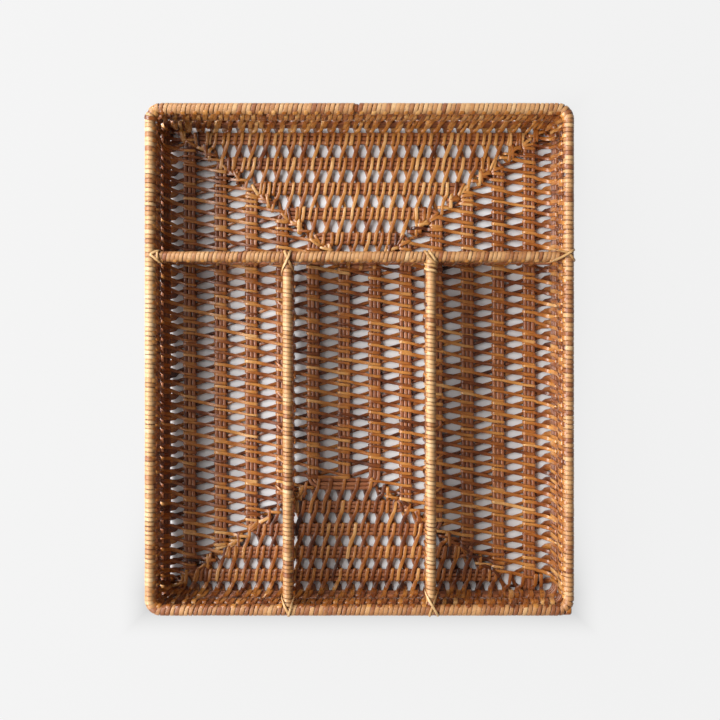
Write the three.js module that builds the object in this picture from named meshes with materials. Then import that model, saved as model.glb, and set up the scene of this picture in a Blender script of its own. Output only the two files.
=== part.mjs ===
// Flatware tray of coiled rattan: a flat spiral floor, upright walls, a wrapped rim and three dividers.
// Rods lie side by side in threes, and flat cane is wound round each pair of neighbouring bundles.
// Millimetres, +Z up, origin on the table under the middle, the wide cross compartment towards +Y.
import * as THREE from "three";

// Overall size
const trayWidth = 330;
const trayLength = 394;
const trayHeight = 57;

// Rods, cane and the play between pieces that touch
const rodDiameter = 2.8;
const caneWidth = 2.3;
const caneThickness = 1;
const clearance = 0.3;
const canePlay = 0.1;
const buttGap = 0.5;

// Wrapped rim and divider rails
const railCoreDiameter = 4.2;
const wrapThickness = 1;
const wallCornerRadius = 8;
const wrapOverrun = 2;

// Plan of the floor coil: its outermost turns are inset from the middle of the walls
const floorTurns = 6;
const sideRowInset = 20.5;
const backRowInset = 10.5;
const frontRowInset = 14.7;
const frontFanDepth = 89.7;
const coilCornerRadius = 3;
const coilStartGap = 2.4;

// Dividers and the lashings that tie their rails. The long ones stand beside a turn of the coil.
const crossDividerPlace = 79;
const dividerTurn = 3;
const dividerToColumn = 8.5;
const lashingReach = 4.2;
const lashingClimb = 1.4;
const lashingSpread = 3;
const lashingClose = 1.5;

// Winding of the cane
const canePitch = 36;
const caneLean = 5;
const caneEndMargin = 4;
const seamPhase = 0;
const tieShare = 0.455;

// Numbers of flat sides and corner steps
const rodSides = 6;
const wrapSides = 8;
const cornerSteps = 2;

// Sizes worked out from the ones above
const rodRadius = rodDiameter / 2;
const rodPitch = rodDiameter + clearance;
const bundleHalf = rodPitch + rodRadius;
const cover = clearance + caneThickness;
const loopHalf = bundleHalf + cover;
const wallHalf = rodRadius + cover;
const coreRadius = railCoreDiameter / 2;
const wrapRadius = coreRadius + clearance + wrapThickness;
const bandRadius = wrapRadius + cover + canePlay;
const bandShare = Math.tan(Math.PI / 8);
const bandCorner = bandRadius * bandShare;
const wallX = trayWidth / 2 - bandRadius;
const wallY = trayLength / 2 - bandRadius;
const floorRodHeight = cover + rodRadius;
const floorTop = 2 * floorRodHeight;
const rimHeight = trayHeight - bandRadius;
const baseHoopHeight = floorTop + clearance + bundleHalf;
const middleHoopHeight = (baseHoopHeight + rimHeight) / 2;
const wallPitch = middleHoopHeight - baseHoopHeight;
const footRodHeight = floorTop + clearance + cover + rodRadius;
const columnPitch = (wallX - sideRowInset) / (floorTurns - 1 / 2);
const backRowPitch = (wallY - backRowInset - crossDividerPlace) / (floorTurns - 1);
const frontRowPitch = (frontFanDepth - frontRowInset) / (floorTurns - 2);
const sideMargin = loopHalf + caneEndMargin;

// Distance of turn number n from the middle: its two columns, its back row and its front row
const columnPlace = (n) => (n - 1 / 2) * columnPitch;
const backRowPlace = (n) => crossDividerPlace + (n - 1) * backRowPitch;
const frontRowPlace = (n) => wallY - frontFanDepth + (n - 1) * frontRowPitch;
const coilStart = loopHalf + coilStartGap - frontRowPlace(1);
const longDividerPlace = columnPlace(dividerTurn) - dividerToColumn;

const rodMaterial = new THREE.MeshStandardMaterial({ color: 0x9c6236, roughness: 0.55, metalness: 0 });
const caneMaterial = new THREE.MeshStandardMaterial({ color: 0xa86f3e, roughness: 0.5, metalness: 0 });
const wrapMaterial = new THREE.MeshStandardMaterial({ color: 0xc89860, roughness: 0.45, metalness: 0 });
const lashMaterial = new THREE.MeshStandardMaterial({ color: 0xd0a470, roughness: 0.45, metalness: 0 });

const tray = new THREE.Group();

function addPiece(name, geometry, material) {
  const mesh = new THREE.Mesh(geometry, material);
  mesh.name = name;
  tray.add(mesh);
  return mesh;
}

const up = new THREE.Vector3(0, 0, 1);
const down = new THREE.Vector3(0, 0, -1);

// A side of the tray: travel runs clockwise seen from above, outward points away from the middle
function makeSide(x, y) {
  const outward = new THREE.Vector3(x, y, 0);
  const travel = new THREE.Vector3().crossVectors(outward, up);
  return { outward, inward: outward.clone().negate(), travel };
}

const leftSide = makeSide(-1, 0);
const backSide = makeSide(0, 1);
const rightSide = makeSide(1, 0);
const frontSide = makeSide(0, -1);
const allSides = [leftSide, backSide, rightSide, frontSide];
const sideNames = ["left", "back", "right", "front"];
const levelNames = ["lower", "middle", "upper"];

const sideAfter = (side) => allSides[(allSides.indexOf(side) + 1) % allSides.length];
const wallOf = (side) => (side.outward.x === 0 ? wallY : wallX);

// The point at a distance along a side, at a distance outward from the middle and at a height
function placeOn(side, along, out, height) {
  return new THREE.Vector3(0, 0, height)
    .addScaledVector(side.travel, along)
    .addScaledVector(side.outward, out);
}

// A closed skin over rings of points: with flat ends, or joined end to end where it is a ring itself
function skin(rings, isJoined) {
  const sides = rings[0].length;
  const spans = isJoined ? rings.length : rings.length - 1;
  const index = [];
  for (let i = 0; i < spans; i++) {
    const next = (i + 1) % rings.length;
    for (let j = 0; j < sides; j++) {
      const k = (j + 1) % sides;
      const corners = [i * sides + j, i * sides + k, next * sides + k, next * sides + j];
      index.push(corners[0], corners[1], corners[2], corners[0], corners[2], corners[3]);
    }
  }
  const last = (rings.length - 1) * sides;
  for (let j = 1; j + 1 < sides && !isJoined; j++) {
    index.push(0, j + 1, j, last, last + j, last + j + 1);
  }
  const geometry = new THREE.BufferGeometry();
  const numbers = rings.flat().flatMap((point) => point.toArray());
  geometry.setAttribute("position", new THREE.Float32BufferAttribute(numbers, 3));
  geometry.setIndex(index);
  geometry.computeVertexNormals();
  return geometry;
}

// A profile's ring at each point of a path, with its top turned outward.
// It is folded along the crease where the point has one, and mitred at the other bends.
function ringsAlong(path, profile) {
  return path.map(({ at, outward, crease }, i) => {
    const ringOn = (across, out) => ([sideways, outwards]) =>
      at.clone().addScaledVector(across, sideways).addScaledVector(out, outwards);
    if (crease) return profile.map(ringOn(crease, outward));
    const here = Math.max(i, 1);
    const there = Math.min(i + 1, path.length - 1);
    const before = path[here].at.clone().sub(path[here - 1].at).normalize();
    const after = path[there].at.clone().sub(path[there - 1].at).normalize();
    const forward = before.clone().add(after).normalize();
    const bend = after.clone().sub(before).normalize();
    const stretch = 1 / forward.dot(after) - 1;
    const out = outward.clone().projectOnPlane(forward).normalize();
    const across = out.clone().cross(forward);
    return profile.map(ringOn(across, out)).map((point) => {
      const reach = point.clone().sub(at).dot(bend);
      return point.addScaledVector(bend, reach * stretch);
    });
  });
}

function roundProfile(radius, sides) {
  return Array.from({ length: sides }, (_, i) => {
    const turn = (2 * Math.PI * i) / sides;
    return [radius * Math.cos(turn), radius * Math.sin(turn)];
  });
}

// Flat cane: its flat face lies on the path and faces outward, its ridge faces the rods
const caneProfile = [
  [-caneWidth / 2, 0],
  [0, -caneThickness],
  [caneWidth / 2, 0],
];
const rodProfile = roundProfile(rodRadius, rodSides);

// The least gap between stretches of a wound piece that aren't neighbours, measured on points
function leastGap(path, thickness) {
  const shares = [0, 1 / 4, 1 / 2, 3 / 4];
  const points = path.slice(1).flatMap(({ at }, i) => shares.map((t) => path[i].at.clone().lerp(at, t)));
  let least = Infinity;
  points.forEach((point, i) => {
    for (let j = i + 4 * shares.length; j < points.length; j++) {
      least = Math.min(least, point.distanceTo(points[j]) - thickness);
    }
  });
  return least;
}

function addWound(name, path, profile, thickness, material) {
  console.log(name + " least gap to itself: " + leastGap(path, thickness).toFixed(1) + " mm");
  addPiece(name, skin(ringsAlong(path, profile), false), material);
}

const addCane = (name, path) => addWound(name, path, caneProfile, caneWidth, caneMaterial);
const addRod = (name, path) => addWound(name, path, rodProfile, rodDiameter, rodMaterial);

// Points round a corner of a level path, from the way in to the way out
function cornerPoints(corner, wayIn, wayOut, radius) {
  const centre = corner.clone().addScaledVector(wayIn, -radius).addScaledVector(wayOut, radius);
  return Array.from({ length: cornerSteps + 1 }, (_, i) => {
    const turn = (Math.PI * i) / (2 * cornerSteps);
    return centre
      .clone()
      .addScaledVector(wayOut, -radius * Math.cos(turn))
      .addScaledVector(wayIn, radius * Math.sin(turn));
  });
}

// Points round the corner where a side meets the next one, at a distance outward on each
function roundCorner(side, out, nextOut, height, radius) {
  const next = sideAfter(side);
  const corner = placeOn(side, nextOut, out, height);
  return cornerPoints(corner, side.travel, next.travel, radius);
}

const wallCorner = (side, height) =>
  roundCorner(side, wallOf(side), wallOf(sideAfter(side)), height, wallCornerRadius);

const coilRadius = (offset) => coilCornerRadius + bundleHalf + offset;

// One of the three rods of the floor coil, wound from the middle outward as an unbroken spiral
function floorRodPath(offset) {
  const bend = (side, out, nextOut) =>
    roundCorner(side, out + offset, nextOut + offset, floorRodHeight, coilRadius(offset));
  const points = [placeOn(leftSide, coilStart, columnPlace(1) + offset, floorRodHeight)];
  for (let n = 1; n <= floorTurns; n++) {
    points.push(...bend(leftSide, columnPlace(n), backRowPlace(n)));
    points.push(...bend(backSide, backRowPlace(n), columnPlace(n)));
    if (n < floorTurns) {
      points.push(...bend(rightSide, columnPlace(n), frontRowPlace(n)));
      points.push(...bend(frontSide, frontRowPlace(n), columnPlace(n + 1)));
    }
  }
  const end = wallY - wallHalf - clearance;
  points.push(placeOn(rightSide, end, columnPlace(floorTurns) + offset, floorRodHeight));
  return points.map((at) => ({ at, outward: up }));
}

// A hoop round the whole tray, its ends butted at the middle of the back
function hoopPath(height) {
  const points = [
    placeOn(backSide, buttGap / 2, wallY, height),
    ...[backSide, rightSide, frontSide, leftSide].flatMap((side) => wallCorner(side, height)),
    placeOn(backSide, -buttGap / 2, wallY, height),
  ];
  return points.map((at) => ({ at, outward: up }));
}

// Outlines of a loop of cane round two neighbours, as pairs of outward distance and height.
// Each starts low on the inner side and goes over the face that shows first.
function floorOutline(inner, outer) {
  return [
    [inner - loopHalf, floorTop],
    [outer + loopHalf, floorTop],
    [outer + loopHalf, 0],
    [inner - loopHalf, 0],
  ];
}

function footOutline(inner, wall) {
  const high = baseHoopHeight + loopHalf;
  return [
    [inner - loopHalf, floorTop],
    [wall - wallHalf, floorTop],
    [wall - wallHalf, high],
    [wall + wallHalf, high],
    [wall + wallHalf, 0],
    [inner - loopHalf, 0],
  ];
}

function uprightOutline(out, low) {
  const high = middleHoopHeight + loopHalf;
  return [
    [out - wallHalf, low],
    [out - wallHalf, high],
    [out + wallHalf, high],
    [out + wallHalf, low],
  ];
}

function railOutline(out, low) {
  return [
    [out - wallHalf, low],
    [out - bandRadius, rimHeight + bandCorner],
    [out - bandCorner, rimHeight + bandRadius],
    [out + bandCorner, rimHeight + bandRadius],
    [out + bandRadius, rimHeight + bandCorner],
    [out + wallHalf, low],
  ];
}

// Round a divider's foot rod and the floor bundle beside it
function tieOutline(out, column) {
  const overRod = footRodHeight + wallHalf;
  const inside = out - wallHalf - cover;
  return [
    [inside, overRod],
    [out + wallHalf, overRod],
    [column + loopHalf, floorTop + cover],
    [column + loopHalf, 0],
    [inside, 0],
  ];
}

// The way out of the loop at a corner of its outline, as far as one unit off both faces
function facingAt(side, outline, i) {
  const [previous, here, next] = [outline.at(i - 1), outline[i], outline[(i + 1) % outline.length]];
  const faceOf = (from, to) => {
    const run = new THREE.Vector2(to[0] - from[0], to[1] - from[1]).normalize();
    return new THREE.Vector3().addScaledVector(side.inward, run.y).addScaledVector(up, run.x);
  };
  const [face, nextFace] = [faceOf(previous, here), faceOf(here, next)];
  const share = 1 / (1 + face.dot(nextFace));
  return face.add(nextFace).multiplyScalar(share);
}

// One turn of cane: a small lean over the face that shows, and the rest of the pitch behind it
function caneTurn(side, outline, start) {
  const lengths = outline.map(([out, height], i) => {
    const [nextOut, nextHeight] = outline[(i + 1) % outline.length];
    return Math.hypot(nextOut - out, nextHeight - height);
  });
  const total = (from, to) => lengths.slice(from, to).reduce((sum, length) => sum + length, 0);
  const top = Math.ceil(outline.length / 2) - 1;
  const climb = total(0, top);
  const fall = total(top + 1, -1);
  const crease = side.travel.clone().negate();
  let along = start;
  return outline.map(([out, height], i) => {
    const point = { at: placeOn(side, along, out, height), outward: facingAt(side, outline, i), crease };
    if (i < top) along += (caneLean * lengths[i]) / climb;
    if (i > top) along += ((canePitch - caneLean) * lengths[i]) / fall;
    return point;
  });
}

// How far the turns on the next pair are shifted, so that no two cross on the bundle they share
function phaseStep(pitch) {
  const share = pitch / (pitch + 2 * loopHalf);
  return canePitch * (1 - share / 2) + caneLean * share;
}

// Where the turns on a side start, so many bundles away from the middle of the floor
function sidePhase(side, n) {
  if (side === leftSide) return n * phaseStep(columnPitch) - seamPhase - caneLean;
  if (side === rightSide) return n * phaseStep(columnPitch) + seamPhase;
  return n * phaseStep(side === backSide ? backRowPitch : frontRowPitch);
}

// Starts of the turns that fit on a stretch, clear of the lashings
function turnStarts({ from, to, phase, lashings = [] }) {
  const room = bandRadius + caneWidth + caneLean;
  const starts = [];
  for (let i = Math.ceil((from - phase) / canePitch); phase + (i + 1) * canePitch <= to; i++) {
    const start = phase + i * canePitch;
    const isClear = lashings.every((place) => Math.abs(place - start - caneLean) > room);
    if (isClear) starts.push(start);
  }
  return starts;
}

// Cane wound along a stretch. Where a turn is left out it runs straight on beside the bundle.
function stretchPath(stretch) {
  const { side, outline, run } = stretch;
  const starts = turnStarts(stretch);
  const runPoint = (along) => ({ at: placeOn(side, along, run.out, run.height), outward: run.facing });
  const path = [];
  starts.forEach((start, i) => {
    const lastEnd = i === 0 ? -Infinity : starts[i - 1] + canePitch;
    const isApart = start - lastEnd > caneWidth;
    if (isApart && i > 0) path.push(runPoint(lastEnd));
    if (isApart) path.push(runPoint(start));
    path.push(...caneTurn(side, outline, start));
  });
  if (starts.length > 0) path.push(runPoint(starts.at(-1) + canePitch));
  return path;
}

// The stretch of a floor gap on one side, between two places of the coil
function floorStretch(side, inner, outer, from, to, phase) {
  return {
    side,
    from: from + sideMargin,
    to: to - sideMargin,
    phase,
    outline: floorOutline(inner, outer),
    run: { out: inner - loopHalf, height: floorRodHeight, facing: side.inward },
  };
}

// The cane between turn n of the floor coil and the next one, wound on round the corners
function floorCanePath(n) {
  const column = columnPlace(n);
  const back = backRowPlace(n);
  const front = frontRowPlace(n);
  const leftFrom = n === 1 ? coilStart : -frontRowPlace(n - 1);
  const between = (side, place, from, to) =>
    floorStretch(side, place(n), place(n + 1), from, to, sidePhase(side, n));
  const stretches = [
    between(leftSide, columnPlace, leftFrom, back),
    between(backSide, backRowPlace, -column, column),
    between(rightSide, columnPlace, -back, front),
    between(frontSide, frontRowPlace, -column, columnPlace(n + 1)),
  ];
  const used = n < floorTurns - 1 ? stretches : stretches.slice(0, -1);
  return used.flatMap((stretch, i) => {
    if (i + 1 === used.length) return stretchPath(stretch);
    const { side, run } = stretch;
    const next = used[i + 1];
    const points = roundCorner(side, run.out, next.run.out, floorRodHeight, coilRadius(-loopHalf));
    const bend = points.map((at, step) => {
      const turn = (Math.PI * step) / (2 * cornerSteps);
      const outward = new THREE.Vector3()
        .addScaledVector(run.facing, Math.cos(turn))
        .addScaledVector(next.run.facing, Math.sin(turn));
      return { at, outward };
    });
    return [...stretchPath(stretch), ...bend];
  });
}

// The cane that joins the floor to the foot of one wall
function footCanePath(side, inner, n, from, to) {
  return stretchPath({
    side,
    from: from + sideMargin,
    to: to - sideMargin,
    phase: sidePhase(side, n),
    outline: footOutline(inner, wallOf(side)),
    run: { out: inner - loopHalf, height: floorRodHeight, facing: side.inward },
  });
}

const rimLashings = new Map([
  [leftSide, [crossDividerPlace]],
  [backSide, []],
  [rightSide, [-crossDividerPlace]],
  [frontSide, [-longDividerPlace, longDividerPlace]],
]);

// The cane between two courses of the walls, wound all the way round
function wallCanePath(course, low, outlineAt, lashingsOf) {
  return allSides.flatMap((side) => {
    const rows = side === frontSide ? floorTurns - 1 : floorTurns;
    const halfSide = wallOf(sideAfter(side)) - wallCornerRadius - caneEndMargin;
    const path = stretchPath({
      side,
      from: -halfSide,
      to: halfSide,
      phase: sidePhase(side, rows) + course * phaseStep(wallPitch),
      lashings: lashingsOf(side),
      outline: outlineAt(wallOf(side), low),
      run: { out: wallOf(side), height: low, facing: down },
    });
    const bend = wallCorner(side, low).map((at) => ({ at, outward: down }));
    return side === frontSide ? path : [...path, ...bend];
  });
}

// A sleeve of wrapped cane round a core, open at both ends
function sleeve(points) {
  const path = points.map((at) => ({ at, outward: up }));
  const outside = ringsAlong(path, roundProfile(wrapRadius, wrapSides));
  const inside = ringsAlong(path, roundProfile(wrapRadius - wrapThickness, wrapSides));
  return skin([...outside, ...inside.reverse()], true);
}

// The wrapping of one side of the rim and of the corner at its end
function rimWrapPoints(side) {
  const next = sideAfter(side);
  const straight = wallCornerRadius + wrapOverrun;
  const start = placeOn(side, straight + clearance - wallOf(next), wallOf(side), rimHeight);
  const end = placeOn(next, straight - wallOf(side), wallOf(next), rimHeight);
  return [start, ...wallCorner(side, rimHeight), end];
}

function addStraightRod(name, from, to, radius) {
  const geometry = new THREE.CylinderGeometry(radius, radius, from.distanceTo(to), rodSides);
  const mesh = addPiece(name, geometry, rodMaterial);
  mesh.position.copy(from).lerp(to, 1 / 2);
  mesh.quaternion.setFromUnitVectors(new THREE.Vector3(0, 1, 0), to.clone().sub(from).normalize());
}

// Half of a lashing, from under the rail to under the rod that the rail meets.
// Each line holds the place ahead, sideways and up from the rail's height, and the way it faces.
const lashingOnRail = [
  [-bandRadius - lashingReach, bandCorner, -bandRadius, 0, bandShare, -1],
  [-bandRadius - lashingReach, bandRadius, -bandCorner, 0, 1, -bandShare],
  [-bandRadius - lashingClimb, bandRadius, bandCorner, 0, 1, bandShare],
];
const lashingOnRod = [
  [-bandCorner, lashingSpread, bandRadius, -bandShare, 0, 1],
  [bandCorner, (lashingSpread + lashingClose) / 2, bandRadius, bandShare, 0, 1],
  [bandRadius, lashingClose, bandCorner, 1, 0, bandShare],
  [bandRadius, lashingClose, -bandCorner, 1, 0, -bandShare],
  [bandCorner, lashingClose, -bandRadius, bandShare, 0, -1],
];

// A lashing that ties the end of a rail to the rod it meets: under the rail and over that rod
function lashingPath(centre, ahead) {
  const beside = new THREE.Vector3().crossVectors(ahead, up);
  const turned = (x, y, z, mirror) =>
    new THREE.Vector3()
      .addScaledVector(ahead, x)
      .addScaledVector(beside, mirror * y)
      .addScaledVector(up, z);
  const half = (mirror) =>
    [...lashingOnRail, ...lashingOnRod].map(([x, y, z, faceX, faceY, faceZ], i) => ({
      at: turned(x, y, z, mirror).add(centre),
      outward: turned(faceX, faceY, faceZ, mirror),
      crease: i < lashingOnRail.length ? null : turned(0, -1, 0, mirror),
    }));
  return [...half(-1).reverse(), ...half(1)];
}

// A divider: a wrapped rail, three middle rods, a foot rod and the cane that binds them
function addDivider(name, side, out, from, to, phase, lashings) {
  const ends = (height, inset) => [
    placeOn(side, from + inset, out, height),
    placeOn(side, to - inset, out, height),
  ];
  const rodInset = wallHalf + clearance;
  const railInset = bandRadius + clearance;
  const caneInset = railInset + lashingReach + bandRadius;
  addStraightRod(name + "_rail_core", ...ends(rimHeight, railInset), coreRadius);
  addPiece(name + "_rail_wrap", sleeve(ends(rimHeight, railInset)), wrapMaterial);
  levelNames.forEach((level, i) => {
    const height = middleHoopHeight + (i - 1) * rodPitch;
    addStraightRod(name + "_" + level + "_rod", ...ends(height, rodInset), rodRadius);
  });
  addStraightRod(name + "_foot_rod", ...ends(footRodHeight, rodInset), rodRadius);
  const footLow = footRodHeight - wallHalf;
  const middleLow = middleHoopHeight - loopHalf;
  const stretch = { side, from: from + caneInset, to: to - caneInset };
  const lowerPath = stretchPath({
    ...stretch,
    phase,
    outline: uprightOutline(out, footLow),
    run: { out, height: footLow, facing: down },
  });
  const upperPath = stretchPath({
    ...stretch,
    phase: phase + phaseStep(wallPitch),
    lashings,
    outline: railOutline(out, middleLow),
    run: { out, height: middleLow, facing: down },
  });
  addCane(name + "_lower_cane", lowerPath);
  addCane(name + "_upper_cane", upperPath);
}

// A strand that ties a long divider's foot to the turn of the floor coil beside it
function addTie(name, side, from, to) {
  const outline = tieOutline(longDividerPlace, columnPlace(dividerTurn));
  const [out, height] = outline[0];
  const path = stretchPath({
    side,
    from,
    to,
    phase: tiePhase(side),
    outline,
    run: { out, height: height / 2, facing: side.inward },
  });
  addCane(name, path);
}

const tiePhase = (side) => sidePhase(side, dividerTurn - 1) + tieShare * canePitch;

// Floor
["inner", "middle", "outer"].forEach((place, i) => {
  addRod("floor_coil_rod_" + place, floorRodPath((i - 1) * rodPitch));
});
const [seamColumn, seamEnd] = [columnPlace(1), sideMargin - caneEndMargin - coilStart];
const seam = floorStretch(rightSide, -seamColumn, seamColumn, -backRowPlace(1), seamEnd, seamPhase);
addCane("floor_cane_seam", stretchPath(seam));
for (let n = 1; n < floorTurns; n++) addCane("floor_cane_" + n, floorCanePath(n));

// Walls
const courses = { base: baseHoopHeight, middle: middleHoopHeight };
for (const [course, height] of Object.entries(courses)) {
  levelNames.forEach((level, i) => {
    addRod(course + "_course_rod_" + level, hoopPath(height + (i - 1) * rodPitch));
  });
}
const last = floorTurns;
const footCanes = [
  [leftSide, columnPlace(last), last, -frontRowPlace(last - 1), backRowPlace(last)],
  [backSide, backRowPlace(last), last, -columnPlace(last), columnPlace(last)],
  [rightSide, columnPlace(last), last, -backRowPlace(last), wallY],
  [frontSide, frontRowPlace(last - 1), last - 1, -columnPlace(last - 1), columnPlace(last)],
];
footCanes.forEach((numbers, i) => addCane("foot_cane_" + sideNames[i], footCanePath(...numbers)));
addCane("wall_cane_lower", wallCanePath(1, baseHoopHeight - loopHalf, uprightOutline, () => []));
const upperCane = wallCanePath(2, middleHoopHeight - loopHalf, railOutline, (side) => rimLashings.get(side));
addCane("wall_cane_upper", upperCane);

// Rim
const rimCore = ringsAlong(hoopPath(rimHeight), roundProfile(coreRadius, wrapSides));
addPiece("rim_core", skin(rimCore, false), rodMaterial);
allSides.forEach((side, i) => addPiece("rim_wrap_" + sideNames[i], sleeve(rimWrapPoints(side)), wrapMaterial));

// Dividers
const atRails = [-longDividerPlace, longDividerPlace];
const leftPhase = tiePhase(leftSide) + canePitch / 2;
const rightPhase = tiePhase(rightSide) + canePitch / 2;
addDivider("cross_divider", backSide, crossDividerPlace, -wallX, wallX, -wallX, atRails);
addDivider("left_divider", leftSide, longDividerPlace, -wallY, crossDividerPlace, leftPhase, []);
addDivider("right_divider", rightSide, longDividerPlace, -crossDividerPlace, wallY, rightPhase, []);
const tieEnd = crossDividerPlace - bandRadius - caneEndMargin;
addTie("tie_cane_left", leftSide, sideMargin - frontRowPlace(dividerTurn - 1), tieEnd);
addTie("tie_cane_right", rightSide, -tieEnd, frontRowPlace(dividerTurn) - sideMargin);

// Lashings
const lashings = {
  left_rim: [-wallX, crossDividerPlace, leftSide.outward],
  right_rim: [wallX, crossDividerPlace, rightSide.outward],
  left_crossing: [-longDividerPlace, crossDividerPlace, backSide.outward],
  right_crossing: [longDividerPlace, crossDividerPlace, backSide.outward],
  left_front: [-longDividerPlace, -wallY, frontSide.outward],
  right_front: [longDividerPlace, -wallY, frontSide.outward],
};
for (const [place, [x, y, ahead]] of Object.entries(lashings)) {
  const path = lashingPath(new THREE.Vector3(x, y, rimHeight), ahead);
  addWound("lashing_" + place, path, caneProfile, caneWidth, lashMaterial);
}

export default tray;
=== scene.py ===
"""Flatware tray of coiled rattan, seen from straight above on a pale table.

The floor is a flat coil of bundles of three rods. Round it stand two courses of three rods and a wrapped rim.
Cane winds round each pair of neighbouring bundles and binds them.

Lengths are in millimetres until a mesh is made. +X is to the right, +Y is away along the long side, +Z is up.
"""
import math
from functools import partial

import bpy
import numpy as np
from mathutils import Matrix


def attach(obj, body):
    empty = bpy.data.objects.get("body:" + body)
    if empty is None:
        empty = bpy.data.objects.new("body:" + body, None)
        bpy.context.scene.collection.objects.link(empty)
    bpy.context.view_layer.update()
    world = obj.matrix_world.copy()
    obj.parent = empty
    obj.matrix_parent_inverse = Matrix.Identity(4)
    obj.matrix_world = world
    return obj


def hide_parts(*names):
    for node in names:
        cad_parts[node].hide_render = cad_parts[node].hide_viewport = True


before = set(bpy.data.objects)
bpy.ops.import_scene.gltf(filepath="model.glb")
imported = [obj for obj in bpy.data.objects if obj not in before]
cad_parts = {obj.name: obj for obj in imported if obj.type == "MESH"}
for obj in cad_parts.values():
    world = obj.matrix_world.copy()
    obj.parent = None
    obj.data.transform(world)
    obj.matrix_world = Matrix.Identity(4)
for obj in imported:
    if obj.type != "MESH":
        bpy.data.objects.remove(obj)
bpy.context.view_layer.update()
rng = np.random.default_rng(20)

MM = 0.001
TINY = 1e-12

# Plan of the tray

# Middle lines, seen from above
WALL_X = 160.2
WALL_Y = 192.2
WALL_RADIUS = 8.0
CROSS_Y = 79.0  # the cross divider, above the first row at the back
LONG_X = 55.0  # the long dividers, to either side of the middle

# The coil of the floor: columns at the sides, rows at the back and the front
COLUMN_PITCH = 25.4
BACK_PITCH = 20.54
FRONT_PITCH = 18.75
FRONT_START = 102.5
COIL_START = -97.0
COIL_END_INSET = 2.0
COIL_RADIUS = 7.5
FLOOR_TURNS = 6

# Heights of the middle rod of each bundle or course, and of the cores of the rim and the rails
FLOOR_Z = 2.7
FOOT_Z = 8.4
BASE_Z = 9.2
MIDDLE_Z = 31.2
RIM_Z = 52.2

# Rods, cane and wrapping
ROD_RADIUS = 1.5
ROD_WIDTH, ROD_THICK = 3.24, 2.9
ROD_PITCH = 3.25
SINGLE_ROD = 0.01  # half the height of a course of one rod, between the middles of its outer rods
STRAND_WIDTH = 2.95
STRAND_THICK = 0.8
LOOP_RADIUS = ROD_RADIUS + STRAND_THICK / 2
LOOP_HALF = ROD_PITCH + LOOP_RADIUS
RIM_SHIFT = 0.5  # how far the rim stands out from the walls
RIM_CORE = 3.55
RAIL_CORE = 3.3
RIM_LOOP = 4.4  # radius of the cane's loops round the rim and the rails, before they dive under the wrapping
RAIL_LOOP = 4.15
RAIL_REACH = 1.5  # from the middle of the core down to the top of the gap
DIVE = 1.2
WRAP_THICK = 0.55
WRAP_WIDTH, WRAP_CROWN = 3.5, 0.2
RIM_PITCH = 3.55
RAIL_PITCH = 3.2
PLACES = ("inner", "middle", "outer")
LEVELS = ("lower", "middle", "upper")

LEFT, BACK, RIGHT, FRONT = range(4)
SIDE_NAMES = ("left", "back", "right", "front")
OUTWARD = np.array([[-1.0, 0.0], [0.0, 1.0], [1.0, 0.0], [0.0, -1.0]])
TRAVEL = np.array([[0.0, 1.0], [1.0, 0.0], [0.0, -1.0], [-1.0, 0.0]])
UP = np.array([0.0, 0.0, 1.0])

# The weave on the left, back, right and front
PITCH = [9.2, 10.7, 9.2, 10.7]  # from stitch to stitch
LEAN = [0.34, 0.36, 0.34, 0.36]  # half of what the leg that shows advances, in stitches
CROSSING = [0.21, 0.40, 0.21, 0.40]  # where in a stitch the legs cross
OVER_GAP = [0.62, 0.63, 0.62, 0.63]  # share of a leg's advance made inside the gap: the leg that shows
UNDER_GAP = [0.47, 0.35, 0.47, 0.35]  # and the leg underneath
SHIFT = [0.786, 0.07, 0.786, 0.07]  # stitches that each gap is set back from the one before
WALL_LEAN = [3.4, 0.8, 1.2, 1.0]  # how far the foot of the wall leans in
WEAVE_WIDTH = [1.0, 1.10, 1.0, 1.15]
# painted light and shade: the weave is made paler at the back and darker at the front, for how the light
# falls
WEAVE_PAINTED_LIGHT = [0.0, 0.16, 0.0, -0.10]
# painted light and shade: the rim's wrapping is made paler on the left and darker at the back, right and
# front, for how the light falls
RIM_PAINTED_LIGHT = [0.12, -0.08, -0.24, -0.38]
# painted light and shade: the cross and left rails' wrapping is made darker and the right rail's a little
# paler, for how the light falls on each
RAIL_PAINTED_LIGHT = {"cross": -0.27, "left": -0.10, "right": 0.02}

# Corners of the weave
CORNER_STITCHES = 3  # extra stitches in each
CORNER_MARGIN = 17.0  # how far along each side they are spread
SHORTEST = 11.0  # the shortest stitch
INNER_TURN = 8.0  # how far from the diagonal the way outward starts to turn
CORNER_PEAK, CORNER_FADE = 1.4, 18.0  # nearness to a corner: on its diagonal, and mm over which it falls by 1
SAMPLE = 0.5  # from sample to sample of a chain

# How unevenly the cane lies, as spreads of random numbers, and how much more so at a corner
ADVANCE_SPREAD = 0.018
PLACE_SPREAD, CORNER_PLACE = 0.5, 1.8
LIFT_SPREAD, CORNER_LIFT = 0.12, 2.5
WIDTH_SPREAD = 0.10
TONE_SPREAD, CORNER_TONE = 0.16, 0.6
TURNS_PER_TONE = 22
TONES = (0.46, 0.66)
BUNDLE_WIDTH, GAP_WIDTH, CORNER_WIDTH = 0.88, 0.14, 0.08  # on the bundles, added in the gap, lost at corners
# painted shade: how much darker the cane is made in the gap, on the leg underneath, and at the corners
PAINTED_GAP_SHADE, PAINTED_UNDER_SHADE, PAINTED_CORNER_SHADE, PAINTED_CORNER_GAP_SHADE = 0.16, 0.12, 0.04, 0.10

# How the cane's legs run in a gap: share of it, and height above the floor's middle or share of the radius
FLOOR_DIP = ((0.22, 1.15), (0.36, 0.72), (0.5, 0.55), (0.64, 0.72), (0.78, 1.15))
WALL_WAIST = ((0.22, 0.62), (0.36, 0.4), (0.5, 0.3), (0.64, 0.4), (0.78, 0.62))

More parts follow.
